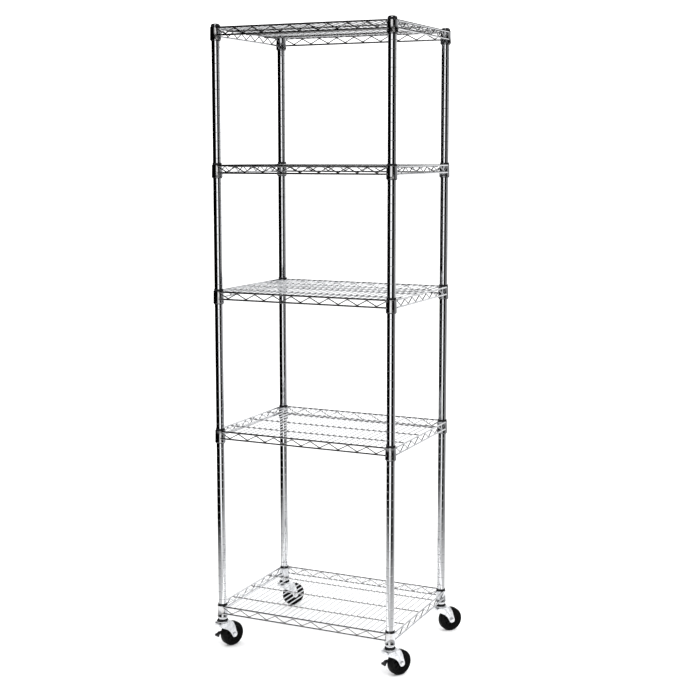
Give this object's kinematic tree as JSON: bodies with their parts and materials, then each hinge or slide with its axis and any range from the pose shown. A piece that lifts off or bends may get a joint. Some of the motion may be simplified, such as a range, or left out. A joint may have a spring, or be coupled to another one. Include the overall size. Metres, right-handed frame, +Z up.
{
  "type": "wire shelving rack",
  "caption": "Free-standing chrome wire shelving rack with grooved round posts, welded wire shelves on split sleeves and swivel casters, two with brakes.",
  "frame": {"origin": "on the floor, midway between the axes of the four posts", "axes": "+Z up, +X to the right and +Y to the back as seen from the front of the rack"},
  "size_m": [0.6513, 0.5093, 1.927],
  "materials": {
    "chrome_post": "bright chrome plated steel tube, grooved at an even pitch",
    "chrome_wire": "bright chrome plated welded steel wire",
    "zinc_steel": "bright zinc plated pressed steel",
    "black_sleeve": "black moulded nylon, satin",
    "black_cap": "black moulded plastic, satin",
    "black_tyre": "black rubber tread, lightly scuffed",
    "black_hub": "black moulded plastic wheel core",
    "black_lever": "black coated pressed steel lever"
  },
  "bodies": {
    "post_frame": {"post_front_left": "chrome_post", "post_cap_front_left": "black_cap", "post_socket_front_left": "zinc_steel", "caster_stem_front_left": "zinc_steel", "sleeve_bottom_front_left": "black_sleeve", "sleeve_second_front_left": "black_sleeve", "sleeve_middle_front_left": "black_sleeve", "sleeve_fourth_front_left": "black_sleeve", "sleeve_top_front_left": "black_sleeve", "post_front_right": "chrome_post", "post_cap_front_right": "black_cap", "post_socket_front_right": "zinc_steel", "caster_stem_front_right": "zinc_steel", "sleeve_bottom_front_right": "black_sleeve", "sleeve_second_front_right": "black_sleeve", "sleeve_middle_front_right": "black_sleeve", "sleeve_fourth_front_right": "black_sleeve", "sleeve_top_front_right": "black_sleeve", "post_back_right": "chrome_post", "post_cap_back_right": "black_cap", "post_socket_back_right": "zinc_steel", "caster_stem_back_right": "zinc_steel", "sleeve_bottom_back_right": "black_sleeve", "sleeve_second_back_right": "black_sleeve", "sleeve_middle_back_right": "black_sleeve", "sleeve_fourth_back_right": "black_sleeve", "sleeve_top_back_right": "black_sleeve", "post_back_left": "chrome_post", "post_cap_back_left": "black_cap", "post_socket_back_left": "zinc_steel", "caster_stem_back_left": "zinc_steel", "sleeve_bottom_back_left": "black_sleeve", "sleeve_second_back_left": "black_sleeve", "sleeve_middle_back_left": "black_sleeve", "sleeve_fourth_back_left": "black_sleeve", "sleeve_top_back_left": "black_sleeve"},
    "shelf_bottom": {"shelf_bottom": "chrome_wire"},
    "shelf_second": {"shelf_second": "chrome_wire"},
    "shelf_middle": {"shelf_middle": "chrome_wire"},
    "shelf_fourth": {"shelf_fourth": "chrome_wire"},
    "shelf_top": {"shelf_top": "chrome_wire"},
    "fork_front_left": {"caster_fork_front_left": "zinc_steel", "caster_axle_front_left": "zinc_steel"},
    "wheel_front_left": {"caster_tyre_front_left": "black_tyre", "caster_hub_front_left": "black_hub"},
    "brake_front_left": {"caster_brake_front_left": "black_lever"},
    "fork_front_right": {"caster_fork_front_right": "zinc_steel", "caster_axle_front_right": "zinc_steel"},
    "wheel_front_right": {"caster_tyre_front_right": "black_tyre", "caster_hub_front_right": "black_hub"},
    "brake_front_right": {"caster_brake_front_right": "black_lever"},
    "fork_back_right": {"caster_fork_back_right": "zinc_steel", "caster_axle_back_right": "zinc_steel"},
    "wheel_back_right": {"caster_tyre_back_right": "black_tyre", "caster_hub_back_right": "black_hub"},
    "fork_back_left": {"caster_fork_back_left": "zinc_steel", "caster_axle_back_left": "zinc_steel"},
    "wheel_back_left": {"caster_tyre_back_left": "black_tyre", "caster_hub_back_left": "black_hub"}
  },
  "joints": [
    {"name": "shelf_bottom_lift", "type": "slide", "parent": "post_frame", "child": "shelf_bottom", "axis": [0, 0, 1], "range_m": [0, 0.5168]},
    {"name": "shelf_second_lift", "type": "slide", "parent": "post_frame", "child": "shelf_second", "axis": [0, 0, 1], "range_m": [0, 0.3898]},
    {"name": "shelf_middle_lift", "type": "slide", "parent": "post_frame", "child": "shelf_middle", "axis": [0, 0, 1], "range_m": [0, 0.339]},
    {"name": "shelf_fourth_lift", "type": "slide", "parent": "post_frame", "child": "shelf_fourth", "axis": [0, 0, 1], "range_m": [0, 0.3644]},
    {"name": "shelf_top_lift", "type": "slide", "parent": "post_frame", "child": "shelf_top", "axis": [0, 0, 1], "range_m": [0, 0.06]},
    {"name": "swivel_front_left", "type": "hinge", "parent": "post_frame", "child": "fork_front_left", "pos_m": [-0.28575, -0.20955, 0.086], "axis": [0, 0, 1], "continuous": true},
    {"name": "wheel_front_left_spin", "type": "hinge", "parent": "fork_front_left", "child": "wheel_front_left", "pos_m": [-0.27138, -0.17874, 0.0381], "axis": [-0.9063, 0.4226, 0], "continuous": true},
    {"name": "brake_front_left_press", "type": "hinge", "parent": "fork_front_left", "child": "brake_front_left", "pos_m": [-0.27138, -0.17874, 0.0381], "axis": [0.9063, -0.4226, 0], "range_deg": [0, 22]},
    {"name": "swivel_front_right", "type": "hinge", "parent": "post_frame", "child": "fork_front_right", "pos_m": [0.28575, -0.20955, 0.086], "axis": [0, 0, 1], "continuous": true},
    {"name": "wheel_front_right_spin", "type": "hinge", "parent": "fork_front_right", "child": "wheel_front_right", "pos_m": [0.30275, -0.1801, 0.0381], "axis": [-0.866, 0.5, 0], "continuous": true},
    {"name": "brake_front_right_press", "type": "hinge", "parent": "fork_front_right", "child": "brake_front_right", "pos_m": [0.30275, -0.1801, 0.0381], "axis": [0.866, -0.5, 0], "range_deg": [0, 22]},
    {"name": "swivel_back_right", "type": "hinge", "parent": "post_frame", "child": "fork_back_right", "pos_m": [0.28575, 0.20955, 0.086], "axis": [0, 0, 1], "continuous": true},
    {"name": "wheel_back_right_spin", "type": "hinge", "parent": "fork_back_right", "child": "wheel_back_right", "pos_m": [0.30894, 0.23442, 0.0381], "axis": [-0.7314, 0.682, 0], "continuous": true},
    {"name": "swivel_back_left", "type": "hinge", "parent": "post_frame", "child": "fork_back_left", "pos_m": [-0.28575, 0.20955, 0.086], "axis": [0, 0, 1], "continuous": true},
    {"name": "wheel_back_left_spin", "type": "hinge", "parent": "fork_back_left", "child": "wheel_back_left", "pos_m": [-0.26723, 0.23806, 0.0381], "axis": [-0.8387, 0.5446, 0], "continuous": true}
  ]
}
